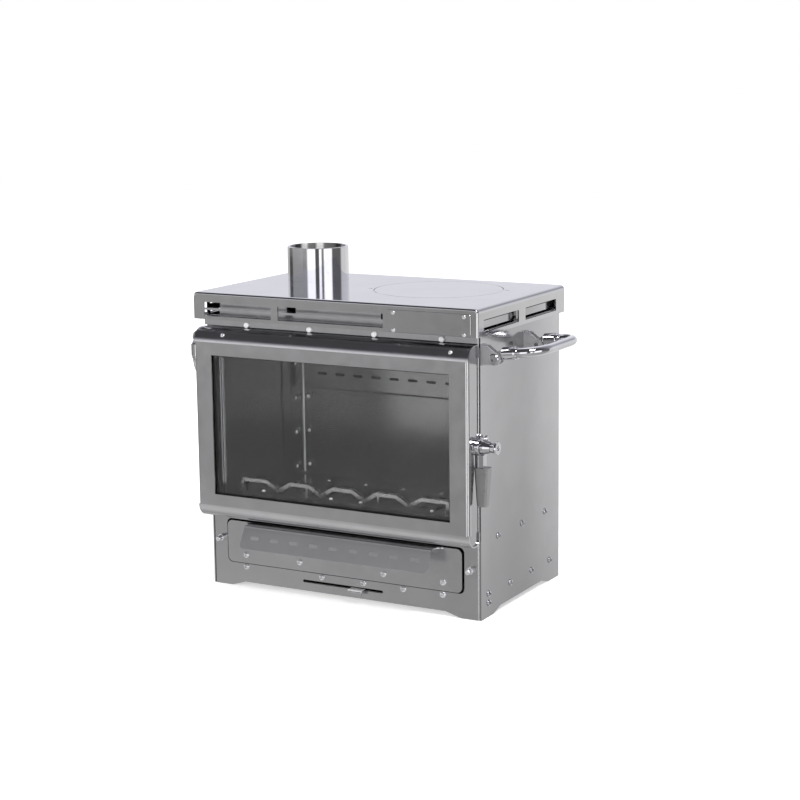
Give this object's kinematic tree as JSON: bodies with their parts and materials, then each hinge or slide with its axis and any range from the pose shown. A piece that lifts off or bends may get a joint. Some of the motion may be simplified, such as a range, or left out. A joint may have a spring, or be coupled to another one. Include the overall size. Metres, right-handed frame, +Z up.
{
  "type": "tent wood stove",
  "caption": "Stainless wood stove with a large glazed hinged door, ash drawer, sliding air control, vented hood, flue collar, lift-off cook plate and folding side handles.",
  "frame": {"origin": "on the floor, under the middle of the whole object's box", "axes": "+X to the stove's right, +Y from the door to the rear, +Z up, along the flue"},
  "size_m": [0.5502, 0.2886, 0.4735],
  "materials": {
    "body_steel": "satin stainless sheet",
    "inner_steel": "dull stainless sheet",
    "bright_steel": "polished stainless",
    "plate_steel": "fine-brushed bare plate",
    "screw_steel": "polished stainless fixings",
    "gasket_tape": "woven glass-fibre tape",
    "ceramic_glass": "clear ceramic stove glass"
  },
  "bodies": {
    "stove_body": {"front_panel": "body_steel", "side_panel_left": "body_steel", "side_panel_right": "body_steel", "rear_panel": "body_steel", "base_plate": "inner_steel", "firebox_floor": "inner_steel", "firebox_deck": "inner_steel", "grate": "inner_steel", "liner_left": "inner_steel", "liner_right": "inner_steel", "liner_rear": "inner_steel", "corner_angles": "inner_steel", "liner_screws": "screw_steel", "air_duct": "inner_steel", "baffle_plate": "inner_steel", "baffle_brackets": "inner_steel", "opening_frame": "inner_steel", "log_guard": "bright_steel", "header_strip": "body_steel", "header_studs": "screw_steel", "hood_shell": "body_steel", "hood_vent_bars": "body_steel", "nameplate": "plate_steel", "nameplate_screws": "screw_steel", "flue_collar": "bright_steel", "flue_flanges": "inner_steel", "cook_sleeve": "inner_steel", "front_studs": "screw_steel", "front_screws": "screw_steel", "side_screws": "screw_steel", "rear_screws": "screw_steel", "drawer_runners": "inner_steel", "slider_guides": "inner_steel", "hinge_leaves_body": "bright_steel", "hinge_pins": "bright_steel", "latch_keeper": "bright_steel", "handle_brackets": "bright_steel", "handle_pins": "screw_steel"},
    "door": {"door_shell": "body_steel", "door_side_plates": "body_steel", "glass_gasket": "gasket_tape", "door_glass": "ceramic_glass", "glass_retainer": "inner_steel", "glass_screws": "screw_steel", "door_seal": "gasket_tape", "door_screws": "screw_steel", "hinge_leaves_door": "bright_steel", "latch_spindle": "bright_steel", "latch_sleeve": "bright_steel"},
    "latch": {"latch_lever": "bright_steel", "latch_grip": "bright_steel"},
    "drawer": {"drawer_front": "body_steel", "drawer_screws": "screw_steel", "ash_tray": "inner_steel"},
    "slider": {"air_slider": "body_steel"},
    "cook_lid": {"cook_plate": "body_steel"},
    "handle_right": {"handle_bail_right": "bright_steel", "ferrules_right": "bright_steel"},
    "handle_left": {"handle_bail_left": "bright_steel", "ferrules_left": "bright_steel"}
  },
  "joints": [
    {"name": "door_swing", "type": "hinge", "parent": "stove_body", "child": "door", "pos_m": [-0.24597, -0.1143, 0.24], "axis": [0, 0, -1], "range_deg": [0, 110]},
    {"name": "latch_turn", "type": "hinge", "parent": "door", "child": "latch", "pos_m": [0.19403, -0.1223, 0.242], "axis": [1, 0, 0], "range_deg": [-100, 0]},
    {"name": "drawer_slide", "type": "slide", "parent": "stove_body", "child": "drawer", "axis": [0, -1, 0], "range_m": [0, 0.2]},
    {"name": "air_slide", "type": "slide", "parent": "stove_body", "child": "slider", "axis": [1, 0, 0], "range_m": [-0.0755, 0.028]},
    {"name": "cook_plate_lift", "type": "slide", "parent": "stove_body", "child": "cook_lid", "axis": [0, 0, 1], "range_m": [0, 0.06]},
    {"name": "handle_right_fold", "type": "hinge", "parent": "stove_body", "child": "handle_right", "pos_m": [0.20753, -0.0353, 0.357], "axis": [0, 1, 0], "range_deg": [0, 96]},
    {"name": "handle_left_fold", "type": "hinge", "parent": "stove_body", "child": "handle_left", "pos_m": [-0.26047, -0.0353, 0.357], "axis": [0, 1, 0], "range_deg": [0, 96]}
  ]
}
